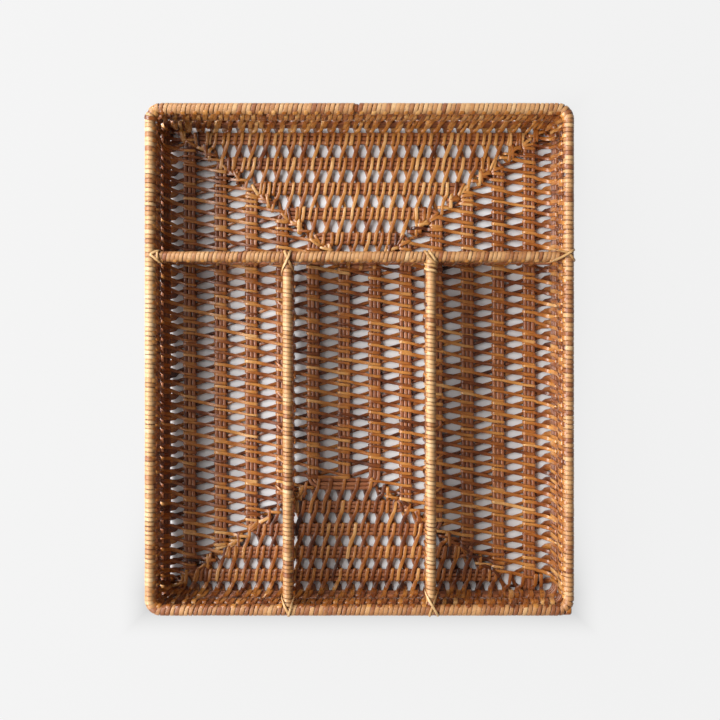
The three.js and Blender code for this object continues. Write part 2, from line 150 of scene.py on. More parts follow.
# How they run round the rim and the rails: angle, and share of the dive under the wrapping
OVER_RAIL = ((205, 0.0), (180, 0.0), (157, 0.15), (135, 0.6), (112, 1.0), (90, 1.0))
UNDER_RAIL = ((68, 1.0), (45, 1.0), (23, 1.0), (0, 1.0), (-25, 0.6), (-45, 0.1))


def column(n):
    return (n - 0.5) * COLUMN_PITCH


def back_row(n):
    return CROSS_Y + (n - 1) * BACK_PITCH


def front_row(n):
    return FRONT_START + (n - 1) * FRONT_PITCH


def coil_corners():
    """Corners of the floor coil's middle rod, from the middle of the floor outward."""
    points = [(-column(1), COIL_START)]
    for n in range(1, FLOOR_TURNS + 1):
        points += [(-column(n), back_row(n)), (column(n), back_row(n))]
        if n < FLOOR_TURNS:
            points += [(column(n), -front_row(n)), (-column(n + 1), -front_row(n))]
    points.append((column(FLOOR_TURNS), -WALL_Y + COIL_END_INSET))
    return np.array(points)


COIL = coil_corners()
WALL = np.array([(WALL_X, -WALL_Y), (-WALL_X, -WALL_Y), (-WALL_X, WALL_Y), (WALL_X, WALL_Y),
                 (WALL_X, -WALL_Y)])

# The walls on the left, back, right and front: the axis that crosses them, and where they stand on it
WALL_PLACES = ((0, -WALL_X), (1, WALL_Y), (0, WALL_X), (1, -WALL_Y))

# A course of the walls, with its butt joint at the middle of the back
HOOP = np.array([(-0.25, WALL_Y), (WALL_X, WALL_Y), (WALL_X, -WALL_Y), (-WALL_X, -WALL_Y), (-WALL_X, WALL_Y),
                 (-0.75, WALL_Y)])

# Dividers: the way they are bound, and both ends
DIVIDERS = {
    "cross": (BACK, -WALL_X, CROSS_Y, WALL_X, CROSS_Y),
    "left": (LEFT, -LONG_X, -WALL_Y, -LONG_X, CROSS_Y),
    "right": (RIGHT, LONG_X, CROSS_Y, LONG_X, -WALL_Y),
}
ROD_INSET = 2.9
RAIL_INSET = 3.6

# Meshes


def unit(vectors):
    return vectors / (np.linalg.norm(vectors, axis=-1, keepdims=True) + TINY)


def new_object(name, data):
    made = bpy.data.objects.new(name, data)
    bpy.context.scene.collection.objects.link(made)
    return made


def turned_left(ways):
    """The way outward, for travel that goes clockwise round the tray."""
    return np.stack([-ways[:, 1], ways[:, 0]], 1)


class Skin:
    """Collects swept strips into one mesh. Each point is marked for the material: along, across and tone."""

    def __init__(self):
        self.points, self.quads, self.caps, self.marks = [], [], [], []
        self.count = 0

    def sweep(self, path, out, profile, width=1.0, thick=1.0, tone=0.5):
        """Sweeps a profile of (across, outward) points along a path. Its flat side faces out."""
        path = np.asarray(path, float)
        n, m = len(path), len(profile)
        forward = unit(np.gradient(path, axis=0))
        out = unit(out - (out * forward).sum(1, keepdims=True) * forward)
        across = np.cross(out, forward)
        width = np.broadcast_to(width, (n,))[:, None, None]
        thick = np.broadcast_to(thick, (n,))[:, None, None]
        rings = (path[:, None, :] + across[:, None, :] * profile[None, :, 0:1] * width
                 + out[:, None, :] * profile[None, :, 1:2] * thick)
        self.points.append(rings.reshape(-1, 3))

        steps = np.linalg.norm(np.diff(path, axis=0), axis=1)
        mark = np.empty((n, m, 3))
        mark[:, :, 0] = (np.concatenate([[0.0], np.cumsum(steps)]) + rng.uniform(0, 5000))[:, None]
        mark[:, :, 1] = profile[None, :, 0] / np.abs(profile[:, 0]).max()
        mark[:, :, 2] = np.broadcast_to(tone, (n,))[:, None]
        self.marks.append(mark.reshape(-1, 3))

        i, j = np.arange(n - 1)[:, None], np.arange(m)[None, :]
        k = (j + 1) % m
        quads = np.stack([i * m + j, i * m + k, (i + 1) * m + k, (i + 1) * m + j], -1)
        self.quads.append(quads.reshape(-1, 4) + self.count)
        first = np.arange(m) + self.count
        self.caps += [first[::-1], first + (n - 1) * m]
        self.count += n * m

    def make(self, name, material, nodes):
        """Makes the piece, which stands for these nodes and takes its finish from this material."""
        points = np.concatenate(self.points) * MM
        quads = np.concatenate(self.quads)
        loops = np.concatenate([quads.ravel()] + self.caps).astype(np.int32)
        sizes = np.array([4] * len(quads) + [len(cap) for cap in self.caps], np.int32)
        mesh = bpy.data.meshes.new(name)
        mesh.vertices.add(len(points))
        mesh.vertices.foreach_set("co", points.astype(np.float32).ravel())
        mesh.loops.add(len(loops))
        mesh.loops.foreach_set("vertex_index", loops)
        mesh.polygons.add(len(sizes))
        mesh.polygons.foreach_set("loop_start", np.concatenate([[0], np.cumsum(sizes)[:-1]]).astype(np.int32))
        mesh.polygons.foreach_set("loop_total", sizes)
        mesh.polygons.foreach_set("use_smooth", np.arange(len(sizes)) < len(quads))
        layer = mesh.attributes.new("strand", "FLOAT_VECTOR", "POINT")
        layer.data.foreach_set("vector", np.concatenate(self.marks).astype(np.float32).ravel())
        mesh.update(calc_edges=True)
        mesh.validate()
        mesh.materials.append(material)
        piece = new_object(name, mesh)
        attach(piece, "root")
        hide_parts(*nodes)


def oval(width, thick, power, sides):
    """A flat strip's section: an ellipse, filled out towards a rectangle by a power below 1."""
    turn = np.linspace(0, 2 * math.pi, sides, endpoint=False) + math.pi / sides
    x, y = np.cos(turn), np.sin(turn)
    return np.stack([np.sign(x) * np.abs(x) ** power * width / 2,
                     np.sign(y) * np.abs(y) ** power * thick / 2], 1)


def round_section(radius, sides=14):
    turn = np.linspace(0, 2 * math.pi, sides, endpoint=False)
    return np.stack([np.cos(turn) * radius, np.sin(turn) * radius], 1)


STRAND = oval(STRAND_WIDTH, STRAND_THICK, power=0.72, sides=10)
ROD = oval(ROD_WIDTH, ROD_THICK, power=0.66, sides=16)
WRAP = oval(WRAP_WIDTH, WRAP_THICK + WRAP_CROWN, power=0.66, sides=12)


def wander(count, step, size):
    """Smooth noise: one random value each so many points, eased between them."""
    knots = max(4, int(count / step) + 2)
    values = rng.normal(0, size, knots)
    return np.interp(np.linspace(0, knots - 1, count), np.arange(knots), values)


def straight(x0, y0, x1, y1, z, spacing=3.0):
    count = int(math.hypot(x1 - x0, y1 - y0) / spacing)
    t = np.linspace(0, 1, count)
    return np.column_stack([x0 + (x1 - x0) * t, y0 + (y1 - y0) * t, np.full(count, z)])


def rounded_path(corners, radius, z, spacing=3.0, steps=8):
    """Points along a line that turns clockwise, with rounded corners."""
    points = []
    last = corners[0]
    for i in range(1, len(corners)):
        way = (corners[i] - corners[i - 1]) / np.linalg.norm(corners[i] - corners[i - 1])
        is_end = i == len(corners) - 1
        stop = corners[i] if is_end else corners[i] - way * radius
        count = max(2, int(np.linalg.norm(stop - last) / spacing))
        points += [last + (stop - last) * t for t in np.linspace(0, 1, count, endpoint=False)]
        if is_end:
            points.append(stop)
            break
        onward = (corners[i + 1] - corners[i]) / np.linalg.norm(corners[i + 1] - corners[i])
        centre = stop + onward * radius
        for t in np.linspace(0, math.pi / 2, steps, endpoint=False):
            points.append(centre - onward * radius * math.cos(t) + way * radius * math.sin(t))
        last = corners[i] + onward * radius
    return np.column_stack([np.array(points), np.full(len(points), z)])


def shifted_corners(corners, offset):
    """Corners of the same line, moved outward. It turns clockwise all the way."""
    outs = turned_left(unit(np.diff(corners, axis=0)))
    moved = corners.copy()
    moved[0] += outs[0] * offset
    moved[-1] += outs[-1] * offset
    moved[1:-1] += (outs[:-1] + outs[1:]) * offset
    return moved


def smooth_curve(points, count):
    """A smooth curve through the given points (Catmull-Rom)."""
    points = np.asarray(points, float)
    padded = np.vstack([2 * points[0] - points[1], points, 2 * points[-1] - points[-2]])
    t = np.linspace(0, len(points) - 1 - 1e-6, count)
    i = t.astype(int)
    f = (t - i)[:, None]
    a, b, c, d = (padded[i + k] for k in range(4))
    return 0.5 * (2 * b + (c - a) * f + (2 * a - 5 * b + 4 * c - d) * f**2 + (3 * b - a - 3 * c + d) * f**3)


# Chains of stitches


def corner_way(gone, radius, out, along):
    """What lies within a radius of a corner, and the way outward there, which turns to its diagonal."""
    turn = np.clip(1 - gone / radius, 0, 1)[:, None] * math.pi / 4
    return (gone < radius)[:, None], out * np.cos(turn) + along * np.sin(turn)


class Chain:
    """The run along which two bundles are bound, stretch by stretch round its corners.

    It keeps both edges of the gap, the way outward at each, and the number of stitches up to each place s
    along the outer edge. The stitches stay level with their side up to the diagonal of each corner.
    """

    def __init__(self, inner, outer, sides, gaps, spans, half_in=LOOP_RADIUS, half_out=LOOP_RADIUS,
                 radius=0.0, start=None, end=None, scale=1.0, extra=CORNER_STITCHES, open_ends=()):
        """inner, outer: corners of the two bundles. sides, gaps, spans: the side of the tray that each
        stretch runs along, the number of its gap and its width. half_in, half_out: how far the loops reach
        from the middles of the bundles. radius: of the outer edge's corners. start, end: where the first and
        last stretches are cut off. scale: of the pitch. extra: stitches added at a corner. open_ends: 0 or -1
        for an end that runs on past the inner bundle."""
        inner, outer = np.array(inner, float), np.array(outer, float)
        ways, outs = TRAVEL[sides], OUTWARD[sides]
        self.half_in, self.half_out = half_in, half_out
        for i, limit, pick in ((0, start, max), (-1, end, min)):
            if i in open_ends:
                continue
            t = pick(inner[i] @ ways[i], outer[i] @ ways[i]) if limit is None else limit
            inner[i] += ways[i] * (t - inner[i] @ ways[i])
            outer[i] += ways[i] * (t - outer[i] @ ways[i])

        places, lines, knots_s, knots_u, knots_side, widths = [], [], [], [], [], []
        s = 0.0
        for k, (side, way, out, span) in enumerate(zip(sides, ways, outs, spans)):
            begin, stop = outer[k] @ way, outer[k + 1] @ way
            first, last = inner[k] @ way, inner[k + 1] @ way
            length = stop - begin
            turns_before, turns_after = k > 0, k < len(sides) - 1
            runs_before = not turns_before and 0 in open_ends
            runs_after = not turns_after and -1 in open_ends
            t = np.linspace(0, length, max(8, int(length / SAMPLE)), endpoint=not turns_after)
            place = begin + t
            point = outer[k] + way * t[:, None]
            normal = inner_normal = np.broadcast_to(out, point.shape)
            off = np.zeros(len(t))
            for gone, along, corner, past, reach, is_turn, runs_on in (
                    (t, -way, outer[k], first - place, first - begin, turns_before, runs_before),
                    (length - t, way, outer[k + 1], place - last, stop - last, turns_after, runs_after)):
                if is_turn and radius > 0:
                    turned, radial = corner_way(gone, radius, out, along)
                    point = np.where(turned, corner - (along + out) * radius + radius * radial, point)
                    normal = np.where(turned, radial, normal)
                if is_turn:
                    turned, radial = corner_way(gone, INNER_TURN, out, along)
                    inner_normal = np.where(turned, radial, inner_normal)
                if (is_turn or runs_on) and reach > 1:
                    furthest = max(span - SHORTEST, span * 0.3)
                    off = np.where(past > 0, np.minimum(past / reach * span, furthest), off)
            if span > 0:
                # the inner edge is level with the outer one, on the bundle and then out along the diagonal
                least = begin if runs_before else first - off * (first - begin) / span
                most = stop if runs_after else last + off * (stop - last) / span
                held = np.clip(place, least, most)
                inner_point = inner[k] + way * (held - first)[:, None] + out * off[:, None]
            else:
                inner_point, inner_normal = point, normal
            lines.append(np.concatenate([inner_point, inner_normal, point, normal], 1))
            places.append(s + t)

            # stitches: evenly along the side, and as many more round the corner before it
            margin = min(CORNER_MARGIN, 0.3 * length)
            t0, t1 = (margin if turns_before else 0.0), (length - margin if turns_after else length)
            pitch = PITCH[side] * scale
            u0, u1 = [((begin + t) / pitch - gaps[k] * SHIFT[side]) for t in (t0, t1)]
            if knots_u:
                step = round(knots_u[-1] + (s + t0 - knots_s[-1]) / pitch + extra - u0)
                u0, u1 = u0 + step, u1 + step
            knots_s += [s + t0, s + t1]
            knots_u += [u0, u1]
            knots_side += [side] * 2
            widths += [span] * 2
            s += length
        self.s, self.lines, self.length = np.concatenate(places), np.concatenate(lines), s
        self.knots_s, self.knots_u = np.array(knots_s), np.array(knots_u)
        self.knots_side, self.widths = np.array(knots_side), np.array(widths)
        self.corners = np.array([stretch[0] for stretch in places[1:]])

    def place_of(self, u):
        return np.clip(np.interp(u, self.knots_u, self.knots_s), 0.0, self.length)

    def by_side(self, values, s):
        return np.interp(s, self.knots_s, np.array(values)[self.knots_side])

    def corner_at(self, s):
        """How near to a corner, from 0 on the straight to 1 close to the diagonal."""
        if not len(self.corners):
            return np.zeros(len(s))
        gone = np.abs(np.subtract.outer(s, self.corners)).min(1)
        return np.clip(CORNER_PEAK - gone / CORNER_FADE, 0, 1)

    def at(self, s, q, z, span):
        """Points at places s, so far out from the inner bundle and so high, and the way across the gap."""
        lines = np.stack([np.interp(s, self.s, self.lines[:, i]) for i in range(8)], -1)
        inner, inner_way, outer, outer_way = (lines[..., i:i + 2] for i in (0, 2, 4, 6))
        q, span = q[..., None], span[..., None]
        begin, stop = np.minimum(self.half_in, span / 2), np.maximum(span - self.half_out, span / 2)
        w = np.clip((q - begin) / np.maximum(stop - begin, 1e-6), 0, 1)
        first = inner + inner_way * np.minimum(q, begin)
        last = outer + outer_way * np.maximum(q - span, stop - span)
        reach = np.linalg.norm(last - first, axis=-1, keepdims=True)
        flat = ((2 * w**3 - 3 * w**2 + 1) * first + (w**3 - 2 * w**2 + w) * reach * inner_way
                + (3 * w**2 - 2 * w**3) * last + (w**3 - w**2) * reach * outer_way)
        flat = np.where(span > 0, flat, inner + inner_way * q)
        in_gap = np.where(w >= 1, outer_way, (last - first) / (reach + 1e-9))
        cross = np.where((w <= 0) | (span <= 0), inner_way, in_gap)
        return np.concatenate([flat, z[..., None]], -1), unit(cross)


# Turns of cane

# A turn is a list of points (offset from the nearer bundle, share of the span, height): first those of the
# leg that shows, then those of the leg underneath or outside.


def on_circle(cq, cz, radius, degrees, g):
    turn = math.radians(degrees)
    return cq + radius * math.cos(turn), g, cz + radius * math.sin(turn)


def arc(cq, cz, radius, start, stop, count, g=0.0):
    return [on_circle(cq, cz, radius, degrees, g) for degrees in np.linspace(start, stop, count)]


def flat_turn():
    """Once round two flat bundles of the floor."""
    e, r, z = ROD_PITCH, LOOP_RADIUS, FLOOR_Z
    over = arc(-e, z, r, 180, 90, 4)
    over += [(0.0, 0.0, z + r + 0.05), (e + 0.4, 0.0, z + r - 0.05)]
    over += [(e * (1 - 2 * f), f, z + h) for f, h in FLOOR_DIP]
    over += [(-e - 0.4, 1.0, z + r - 0.05), (0.0, 1.0, z + r + 0.05)]
    over += arc(e, z, r, 90, 0, 4, 1.0)
    under = [(-q, 1.0 - g, 2 * z - h) for q, g, h in over][1:]
    return over, under


def foot_turn():
    """Round the outermost bundle of the floor and the lowest course of a wall."""
    e, r, z = ROD_PITCH, LOOP_RADIUS, FLOOR_Z
    over = arc(-e, z, r, 180, 90, 4)
    over += [(0.0, 0.0, z + r + 0.05), (e + 0.4, 0.0, z + r - 0.1)]
    over += [(0.6, 0.3, z + 1.0), (0.2, 0.5, z + 0.8), (-1.2, 0.8, z + 1.4)]
    over += [(-r - 0.3, 1.0, z + 3.3), (-r, 1.0, BASE_Z - e + 1.2), (-r, 1.0, BASE_Z), (-r, 1.0, BASE_Z + e)]
    over += arc(0.0, BASE_Z + e, r, 160, 90, 3, 1.0)
    under = arc(0.0, BASE_Z + e, r, 60, 0, 3, 1.0)
    under += [(r, 1.0, BASE_Z), (r, 1.0, BASE_Z - e)]
    under += [(r - 0.2, 1.0, BASE_Z - e - 2.2), (0.9, 1.0, 2.6), (-0.6, 1.0, 1.4)]
    under += [(-1.5, 0.8, z - 1.7), (0.0, 0.5, z - 1.9), (0.8, 0.25, z - 1.9)]
    under += [(e, 0.0, z - r), (0.0, 0.0, z - r)]
    under += arc(-e, z, r, -90, -180, 4)
    return over, under


def upright_turn(low, low_half, top, loop, shift=0.0):
    """Round two courses that stand one above the other: up the inner face, down the outer one.

    low and top are the middles of the courses. loop is LOOP_RADIUS for a course of rods on top, and otherwise
    the radius round the rim or a rail, where the strand dives under the wrapping.
    """
    r = LOOP_RADIUS
    is_course = loop == LOOP_RADIUS
    start, stop = low + low_half, top - (ROD_PITCH if is_course else RAIL_REACH)
    over = arc(0.0, low - low_half, r, -90, -180, 4)
    over += [(-r, 0.0, low), (-r, 0.0, start + 0.3)]
    over += [(-r * h + shift * f, f, start + (stop - start) * f) for f, h in WALL_WAIST]
    if is_course:
        over += [(-r, 1.0, stop - 0.3), (-r, 1.0, top), (-r, 1.0, stop + 2 * ROD_PITCH)]
        over += arc(0.0, top + ROD_PITCH, r, 155, 90, 3, 1.0)
        under = arc(0.0, top + ROD_PITCH, r, 65, 0, 3, 1.0)
        under += [(r, 1.0, top), (r, 1.0, stop - 0.3)]
    else:
        over += [on_circle(shift, top, loop - DIVE * dived, degrees, 1.0) for degrees, dived in OVER_RAIL]
        under = [on_circle(shift, top, loop - DIVE * dived, degrees, 1.0) for degrees, dived in UNDER_RAIL]
    under += [(r * h + shift * (1 - f), 1 - f, stop + (start - stop) * f) for f, h in WALL_WAIST]
    under += [(r, 0.0, start + 0.3), (r, 0.0, low)]
    under += arc(0.0, low - low_half, r, 0, -90, 4)
    return over, under


def low_part(z):
    """How far the lowest course leans in: fully at its lowest rod, not at all at its highest."""
    return np.clip((BASE_Z + ROD_PITCH - z) / (2 * ROD_PITCH), 0, 1)


def wind(skin, chain, turn, width=1.0, flare=0.0, lean_power=None):
    """Winds two strands of cane along a chain, a stitch apart, so that their legs cross in mid-gap.

    flare widens the strands at the outer bundle. lean_power says how the lean of the foot of the wall fades
    towards the inner bundle, and None that nothing leans.
    """
    over, under = turn
    shape = np.array(over + under[:-1])
    offset, share, height = shape.T
    is_over = np.arange(len(shape)) < len(over)

    # how much of its leg lies behind each point: of the part beside the bundles, and of that inside the gap
    steps = np.linalg.norm(np.diff(shape[:, [0, 2]], axis=0), axis=1)
    steps = np.where(np.abs(np.diff(share)) > 0, 0.0, steps)
    beside = np.concatenate([[0], np.cumsum(steps)])
    first_leg = beside[len(over) - 1]
    whole = beside[-1] + np.linalg.norm((shape[0] - shape[-1])[[0, 2]])
    beside = np.where(is_over, beside / first_leg, (beside - first_leg) / (whole - first_leg))
    inside = np.where(is_over, share, 1 - share)
    in_half = np.where(is_over, 0.5 * (inside + beside), 1 + 0.5 * (inside + beside))
    depth = np.sin(np.pi * inside)
    spread = np.where(share > 0.7, 1 + flare * np.where(is_over, 0.2, 1.0), 1.0)

    low, high = chain.knots_u[0], chain.knots_u[-1]
    for strand in (0, 1):
        first, last = math.ceil((low - 1 - strand) / 2), math.floor((high + 1 - strand) / 2)
        starts = np.arange(first, last) * 2 + strand
        count = len(starts)
        middle = chain.place_of(starts + 0.5)
        corner = chain.corner_at(middle)
        halves = np.arange(2 * count + 1)

        def at_halves(more=0.0):
            """A factor for each half turn, greater near a corner."""
            return np.append(np.repeat(1 + more * corner, 2), 1)

        def everywhere(values):
            return np.repeat(values, len(shape))

        # how far along the chain: each leg makes its own share of the advance
        advance = np.clip(chain.by_side(LEAN, middle) + rng.normal(0, ADVANCE_SPREAD, count), 0.05, 0.6)
        from_u = starts + chain.by_side(CROSSING, middle) - advance
        to_u = np.append(from_u[1:], from_u[-1] + 2)
        over_gap, under_gap = (chain.by_side(values, middle)[:, None] for values in (OVER_GAP, UNDER_GAP))
        turn_u = (from_u + 2 * advance)[:, None]
        over_part = over_gap * inside + (1 - over_gap) * beside
        under_part = under_gap * inside + (1 - under_gap) * beside
        u = np.where(is_over, from_u[:, None] + (turn_u - from_u[:, None]) * over_part,
                     turn_u + (to_u[:, None] - turn_u) * under_part)
        along = np.arange(count)[:, None] * 2 + in_half[None, :]
        s = chain.place_of(u)
        s = s + np.interp(along, halves, rng.normal(0, PLACE_SPREAD, 2 * count + 1) * at_halves(CORNER_PLACE))
        span = np.interp(s, chain.knots_s, chain.widths)
        q = offset + share * span
        if lean_power is not None:
            q = q - chain.by_side(WALL_LEAN, s) * (share**lean_power * low_part(height))
        points, cross = chain.at(s, q, np.broadcast_to(height, q.shape), span)

        # the way the flat side faces, and a little slack in that direction
        points, along = points.reshape(-1, 3), along.ravel()
        dq, dz = np.gradient(q.ravel()), np.gradient(np.tile(height, count))
        size = np.hypot(dq, dz) + 1e-9
        out = np.concatenate([cross.reshape(-1, 2) * (-dz / size)[:, None], (dq / size)[:, None]], 1)
        lift = np.abs(rng.normal(0, LIFT_SPREAD, 2 * count + 1)) * at_halves(CORNER_LIFT)
        points = points + out * np.interp(along, halves, lift)[:, None]
        points[:, 2] = np.maximum(points[:, 2], STRAND_THICK / 2 + 0.05)

        # width and tone: narrower on the bundles; painted light or shade by side, and painted shade that
        # makes the cane darker in the gap, on the leg underneath and at the corners
        deep, near = np.tile(depth, count), everywhere(corner)
        band = np.clip(np.interp(along, halves, rng.normal(1.0, WIDTH_SPREAD, 2 * count + 1)), 0.75, 1.25)
        band = band * (width * everywhere(chain.by_side(WEAVE_WIDTH, middle)))
        band = band * (BUNDLE_WIDTH + GAP_WIDTH * deep) * np.tile(spread, count) * (1 - CORNER_WIDTH * near)
        tone = rng.uniform(*TONES, int(count / TURNS_PER_TONE) + 2)
        tone = np.repeat(tone, 2 * TURNS_PER_TONE)[: 2 * count + 1]
        tone = tone + rng.normal(0, TONE_SPREAD, 2 * count + 1) * at_halves(CORNER_TONE)
        tone = np.interp(along, halves, tone) + everywhere(chain.by_side(WEAVE_PAINTED_LIGHT, middle))
        tone = tone - PAINTED_GAP_SHADE * deep - PAINTED_UNDER_SHADE * np.tile(~is_over, count)
        tone = tone - (PAINTED_CORNER_SHADE + PAINTED_CORNER_GAP_SHADE * deep) * near
        skin.sweep(points, out, STRAND, width=band, tone=np.clip(tone, 0.08, 1))


# Materials


class Nodes:
    """Adds nodes to a material. Where a node takes a value, that is a constant or another node's output."""

    def __init__(self, name):
        self.material = bpy.data.materials.new(name)
        self.material.use_nodes = True
        self.tree = self.material.node_tree
        self.shader = self.tree.nodes["Principled BSDF"]

    def add(self, kind, **values):
        node = self.tree.nodes.new(kind)
        for key, value in values.items():
            setattr(node, key, value)
        return node

    def put(self, value, socket):
        if isinstance(value, (int, float, tuple)):
            socket.default_value = value
        else:
            self.tree.links.new(value, socket)

    def parts(self, value):
        node = self.add("ShaderNodeSeparateXYZ")
        self.put(value, node.inputs[0])
        return node.outputs

    def math(self, kind, a, b=0.0, clamp=False):
        node = self.add("ShaderNodeMath", operation=kind, use_clamp=clamp)
        self.put(a, node.inputs[0])
        self.put(b, node.inputs[1])
        return node.outputs[0]

    def operations(self):
        """times, plus, minus, power, greater and absolute, as functions of values."""
        kinds = ("MULTIPLY", "ADD", "SUBTRACT", "POWER", "MAXIMUM", "ABSOLUTE")
        return [partial(self.math, kind) for kind in kinds]

    def noise(self, x, y, z, detail, roughness):
        place = self.add("ShaderNodeCombineXYZ")
        for value, socket in zip((x, y, z), place.inputs):
            self.put(value, socket)
        node = self.add("ShaderNodeTexNoise")
        node.inputs["Scale"].default_value = 1.0
        node.inputs["Detail"].default_value = detail
        node.inputs["Roughness"].default_value = roughness
        self.put(place.outputs[0], node.inputs["Vector"])
        return node.outputs[0]

    def mix(self, factor, blend, first, second):
        """Mixes two colours. A mix node has many sockets, and those for colours are 6 and 7 in, 2 out."""
        node = self.add("ShaderNodeMix", data_type="RGBA", blend_type=blend)
        for value, socket in ((factor, 0), (first, 6), (second, 7)):
            self.put(value, node.inputs[socket])
        return node.outputs[2]


def srgb(*values):
    return [((v / 255 + 0.055) / 1.055) ** 2.4 if v > 10 else v / 255 / 12.92 for v in values] + [1.0]


# Noise in the cane: cycles per mm along a strand, across it and by its tone
PATCH_ALONG, PATCH_GAIN = 0.035, 2.2
FIBRE_ALONG, FIBRE_ACROSS, FIBRE_TONE = 0.10, 5.5, 9.0
FLECK_ALONG, FLECK_ACROSS, FLECK_PLANE = 0.55, 2.0, 3.3
FLECK_FROM, FLECK_GAIN = 0.60, 2.5


def cane(name, colours, rough, coat, streak, patch=0.45, rim=0.45, edge_power=6.0):
    """Cane or rattan under a thin varnish.

    colours: from the darkest tone to the palest. streak and patch: strength of the fibres and of slow changes
    along a strand. rim and edge_power: how dark its edges are, and how narrow the dark is.
    """
    nodes = Nodes(name)
    shader = nodes.shader
    shader.inputs["Coat Weight"].default_value = coat
    shader.inputs["Coat Roughness"].default_value = 0.18
    shader.inputs["Coat IOR"].default_value = 1.5
    shader.inputs["IOR"].default_value = 1.5
    times, plus, minus, power, _, absolute = nodes.operations()
    strand = nodes.add("ShaderNodeAttribute", attribute_name="strand")
    along, across, tone = nodes.parts(strand.outputs["Vector"])

    patches = nodes.noise(times(along, PATCH_ALONG), 0.0, tone, 3.0, 0.6)
    fibres = nodes.noise(times(along, FIBRE_ALONG), times(across, FIBRE_ACROSS), times(tone, FIBRE_TONE),
                         3.0, 0.65)
    flecks = nodes.noise(times(along, FLECK_ALONG), times(across, FLECK_ACROSS), FLECK_PLANE, 2.0, 0.5)
    mixed = plus(times(minus(patches, 0.5), patch * PATCH_GAIN), tone)
    mixed = plus(mixed, times(minus(fibres, 0.5), streak), clamp=True)
    ramp = nodes.add("ShaderNodeValToRGB")
    stops = ramp.color_ramp.elements
    while len(stops) < len(colours):
        stops.new(0.5)
    for i, colour in enumerate(colours):
        stops[i].position = i / (len(colours) - 1)
        stops[i].color = srgb(*colour)
    nodes.put(mixed, ramp.inputs[0])

    # edges and flecks are darker, and redder as they get darker
    edge = power(absolute(across), edge_power)
    fleck = times(minus(flecks, FLECK_FROM, clamp=True), FLECK_GAIN, clamp=True)
    dark = minus(1.0, plus(times(edge, rim), fleck, clamp=True))
    shade = nodes.add("ShaderNodeCombineColor")
    nodes.put(dark, shade.inputs[0])
    for socket, gain in ((shade.inputs[1], 0.15), (shade.inputs[2], 0.25)):
        nodes.put(times(dark, plus(times(dark, gain), 1 - gain)), socket)
    nodes.put(nodes.mix(1.0, "MULTIPLY", ramp.outputs[0], shade.outputs[0]), shader.inputs["Base Color"])
    nodes.put(plus(times(fibres, 0.25), rough - 0.12), shader.inputs["Roughness"])

    bump = nodes.add("ShaderNodeBump")
    bump.inputs["Strength"].default_value = 0.35
    bump.inputs["Distance"].default_value = 0.0004
    nodes.put(fibres, bump.inputs["Height"])
    nodes.put(bump.outputs[0], shader.inputs["Normal"])
    return nodes.material


WEAVE = cane("cane_weave", [(58, 24, 8), (124, 62, 22), (172, 101, 39), (204, 139, 67), (228, 175, 110)],
             rough=0.28, coat=0.8, streak=0.7)
RODS = cane("rattan_rod", [(98, 48, 25), (144, 82, 47), (170, 105, 65), (194, 130, 86)],
            rough=0.34, coat=0.6, streak=0.6, patch=0.4, rim=0.65)
WRAPS = cane("cane_wrap", [(148, 88, 50), (196, 141, 88), (216, 172, 120), (230, 197, 152)],
             rough=0.46, coat=0.25, streak=0.85, patch=0.5, rim=0.5, edge_power=3.5)
LASHES = cane("cane_lashing", [(150, 98, 54), (202, 156, 98), (228, 190, 138)],
              rough=0.36, coat=0.3, streak=0.4)

# Rods


def natural(path, size):
    """A rod's slight waviness."""
    count = len(path)
    moved = path.copy()
    for axis in (0, 1):
        moved[:, axis] += wander(count, 6, size)
    moved[:, 2] += np.abs(wander(count, 8, size * 0.4))
    return moved


def add_rod(name, path, node, wave=0.12):
    skin = Skin()
    count = len(path)
    tone = np.clip(0.5 + wander(count, 30, 0.16), 0, 1)
    skin.sweep(natural(path, wave), UP, ROD, width=1 + wander(count, 10, 0.025), tone=tone)
    skin.make(name, RODS, [node])


for i, place in enumerate(PLACES):
    offset = (i - 1) * ROD_PITCH
    path = rounded_path(shifted_corners(COIL, offset), COIL_RADIUS + offset, FLOOR_Z)
    add_rod("coil_" + place, path, "floor_coil_rod_" + place)

for course, height in (("base", BASE_Z), ("middle", MIDDLE_Z)):
    for i, level in enumerate(LEVELS):
        path = rounded_path(HOOP, WALL_RADIUS, height + (i - 1) * ROD_PITCH)
        for (axis, far), lean in zip(WALL_PLACES, WALL_LEAN):
            near = np.clip(1 - np.abs(path[:, axis] - far) / WALL_RADIUS, 0, 1)
            path[:, axis] -= np.sign(far) * lean * near * low_part(path[:, 2])
        add_rod(f"{course}_hoop_{level}", path, f"{course}_course_rod_{level}")


def divider_path(name, inset, z, spacing=3.0):
    """From end to end of a divider, a little short of what it meets."""
    side, x0, y0, x1, y1 = DIVIDERS[name]
    dx, dy = TRAVEL[side] * inset
    return straight(x0 + dx, y0 + dy, x1 - dx, y1 - dy, z, spacing)


for name in DIVIDERS:
    for i, level in enumerate(LEVELS):
        path = divider_path(name, ROD_INSET, MIDDLE_Z + (i - 1) * ROD_PITCH)
        add_rod(f"{name}_rod_{level}", path, f"{name}_divider_{level}_rod", wave=0.08)
    add_rod(f"{name}_rod_foot", divider_path(name, ROD_INSET, FOOT_Z), f"{name}_divider_foot_rod", wave=0.08)

# Woven cane


def weave(name, chain, turn, nodes, **options):
    skin = Skin()
    wind(skin, chain, turn, **options)
    skin.make(name, WEAVE, nodes)


WEAVE_INSET = 5.0  # how far a weave starts and ends from what it meets
LAST_INSET = 4.0  # and how far that is in the corner where the coil ends

